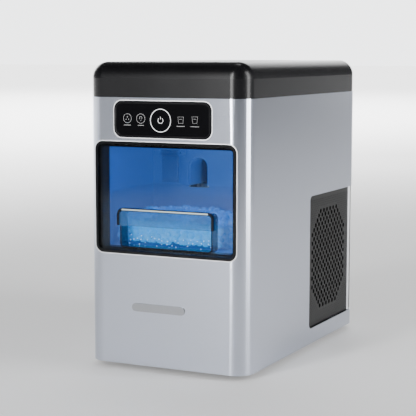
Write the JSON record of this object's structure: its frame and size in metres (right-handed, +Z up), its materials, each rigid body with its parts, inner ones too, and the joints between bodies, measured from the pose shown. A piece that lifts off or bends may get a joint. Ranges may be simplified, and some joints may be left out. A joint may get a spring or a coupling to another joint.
{
  "type": "ice maker",
  "caption": "Tall narrow countertop ice maker: steel shell, black cover, lit window over a pull-out clear ice drawer, touch panel and perforated side vents.",
  "frame": {"origin": "middle of the footprint on the surface the feet stand on", "axes": "+Z up, +X to the user's right, the front with the window and panel faces -Y"},
  "size_m": [0.1862, 0.3238, 0.3242],
  "materials": {
    "stainless": "brushed",
    "black_cover": "satin",
    "vent_black": "satin",
    "black_trim": "semi-gloss",
    "rear_black": "fine texture",
    "foot_rubber": "matte",
    "screw_steel": "zinc plated",
    "clear_window": "clear moulding",
    "soft_seal": "soft seal",
    "gloss_lens": "high gloss",
    "badge_metal": "satin plated",
    "board_green": "coated board",
    "white_liner": "smooth",
    "light_lens": "lit lens",
    "bright_steel": "ground",
    "foam": "closed-cell foam",
    "copper": "drawn copper",
    "sheet_steel": "zinc coated",
    "cast_grey": "cast",
    "gear_nylon": "natural nylon",
    "motor_steel": "plated can",
    "compressor_black": "enamel",
    "fin_aluminium": "mill finish",
    "fan_black": "moulded",
    "float_white": "moulded",
    "pump_grey": "moulded",
    "hose_clear": "silicone tube",
    "cap_rubber": "matte"
  },
  "bodies": {
    "root": {"barrel_base": "cast_grey", "barrel_jacket": "foam", "base_pan": "rear_black", "bulkhead": "sheet_steel", "chamber_light": "light_lens", "compressor": "compressor_black", "compressor_grommets": "foot_rubber", "condenser_fins": "fin_aluminium", "condenser_plates": "sheet_steel", "condenser_tube": "copper", "control_bezel": "black_trim", "control_board": "board_green", "control_lens": "gloss_lens", "drain_spigot": "pump_grey", "evaporator_barrel": "bright_steel", "evaporator_coil": "copper", "extruder_head": "bright_steel", "fan_duct": "fan_black", "fan_frame": "fan_black", "feet": "foot_rubber", "filter_drier": "copper", "float_rod": "bright_steel", "gear_motor": "motor_steel", "gearbox_case": "cast_grey", "gearbox_cover": "cast_grey", "ice_chamber": "white_liner", "ice_chute": "white_liner", "idler_axle": "bright_steel", "name_badge": "badge_metal", "outer_shell": "stainless", "paddle_pin": "bright_steel", "power_inlet": "fan_black", "pump_body": "pump_grey", "pump_cover": "pump_grey", "rear_panel": "rear_black", "rear_screws": "screw_steel", "refrigerant_lines": "copper", "side_vent_left": "vent_black", "side_vent_right": "vent_black", "top_cover": "black_cover", "touch_board": "board_green", "water_hoses": "hose_clear", "water_tank": "white_liner", "window_frame": "black_trim"},
    "drawer": {"drawer_pane": "clear_window", "drawer_surround": "black_trim", "drawer_inner_pane": "clear_window", "drawer_gasket": "soft_seal", "drawer_pull": "black_trim", "pull_lip": "clear_window", "ice_bin": "clear_window"},
    "auger_shaft": {"auger": "bright_steel", "output_gear": "gear_nylon"},
    "idler": {"idler_gear": "gear_nylon"},
    "pinion": {"motor_pinion": "gear_nylon"},
    "fan": {"fan_rotor": "fan_black"},
    "paddle": {"ice_full_paddle": "white_liner"},
    "float": {"tank_float": "float_white"},
    "impeller": {"pump_impeller": "float_white"},
    "cap": {"drain_cap": "cap_rubber"}
  },
  "joints": [
    {"name": "drawer_slide", "type": "slide", "parent": "root", "child": "drawer", "axis": [0, -1, 0], "range_m": [0, 0.085]},
    {"name": "auger_spin", "type": "hinge", "parent": "root", "child": "auger_shaft", "pos_m": [-0.0206, 0.0018, 0.056], "axis": [0, 0, 1], "continuous": true},
    {"name": "idler_spin", "type": "hinge", "parent": "root", "child": "idler", "pos_m": [0.01315, 0.0018, 0.0165], "axis": [0, 0, 1], "continuous": true},
    {"name": "pinion_spin", "type": "hinge", "parent": "root", "child": "pinion", "pos_m": [0.04115, 0.0018, 0.0275], "axis": [0, 0, 1], "continuous": true},
    {"name": "fan_spin", "type": "hinge", "parent": "root", "child": "fan", "pos_m": [0.0441, 0.07625, 0.0986], "axis": [1, 0, 0], "continuous": true},
    {"name": "paddle_swing", "type": "hinge", "parent": "root", "child": "paddle", "pos_m": [-0.0498, -0.0511, 0.2226], "axis": [1, 0, 0], "range_deg": [-30, 15]},
    {"name": "float_rise", "type": "slide", "parent": "root", "child": "float", "axis": [0, 0, 1], "range_m": [0, 0.03]},
    {"name": "impeller_spin", "type": "hinge", "parent": "root", "child": "impeller", "pos_m": [-0.068, -0.0194, 0.0254], "axis": [0, 1, 0], "continuous": true},
    {"name": "cap_pull", "type": "slide", "parent": "root", "child": "cap", "axis": [0, 1, 0], "range_m": [0, 0.02]}
  ],
  "couplings": [
    {"joint": "idler_spin", "follows": "auger_spin", "ratio": -2.8571},
    {"joint": "pinion_spin", "follows": "auger_spin", "ratio": 8.5714}
  ]
}
